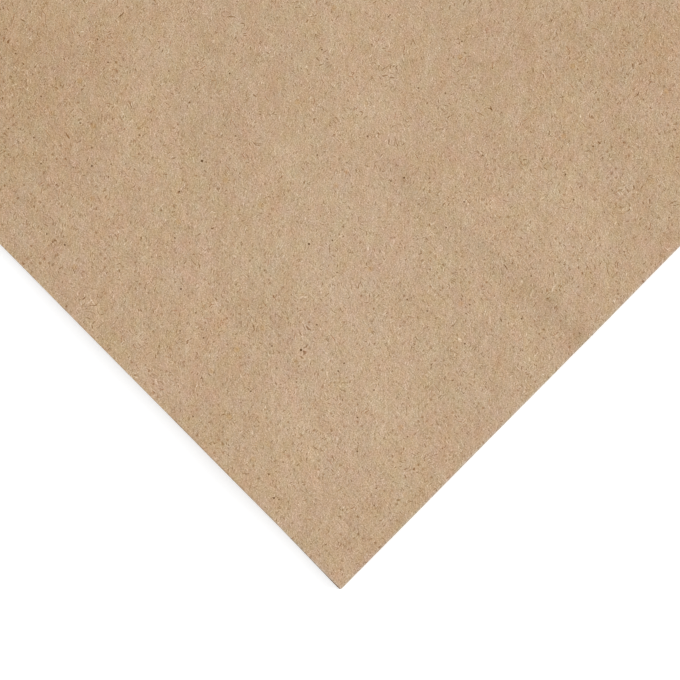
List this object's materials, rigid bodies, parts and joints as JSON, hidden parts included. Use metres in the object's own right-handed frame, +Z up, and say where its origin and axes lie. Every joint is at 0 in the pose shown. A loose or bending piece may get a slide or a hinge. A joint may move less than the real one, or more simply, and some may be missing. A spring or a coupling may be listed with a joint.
{
  "type": "paper napkin",
  "caption": "Square unbleached tissue napkin, folded twice to a quarter of its size and lying flat, with an embossed border along its cut edges.",
  "frame": {"origin": "middle of the folded napkin's box, on the surface that it lies on", "axes": "+Z up through the stack of leaves; the first fold is the edge on +Y, the second fold is the edge on +X, and the open corner is on -X -Y"},
  "size_m": [0.1652, 0.1652, 0.0017],
  "materials": {
    "tissue": "soft unbleached tissue, matt, with an embossed dot border and brown fibre specks"
  },
  "bodies": {
    "root": {"napkin": "tissue"}
  },
  "joints": []
}
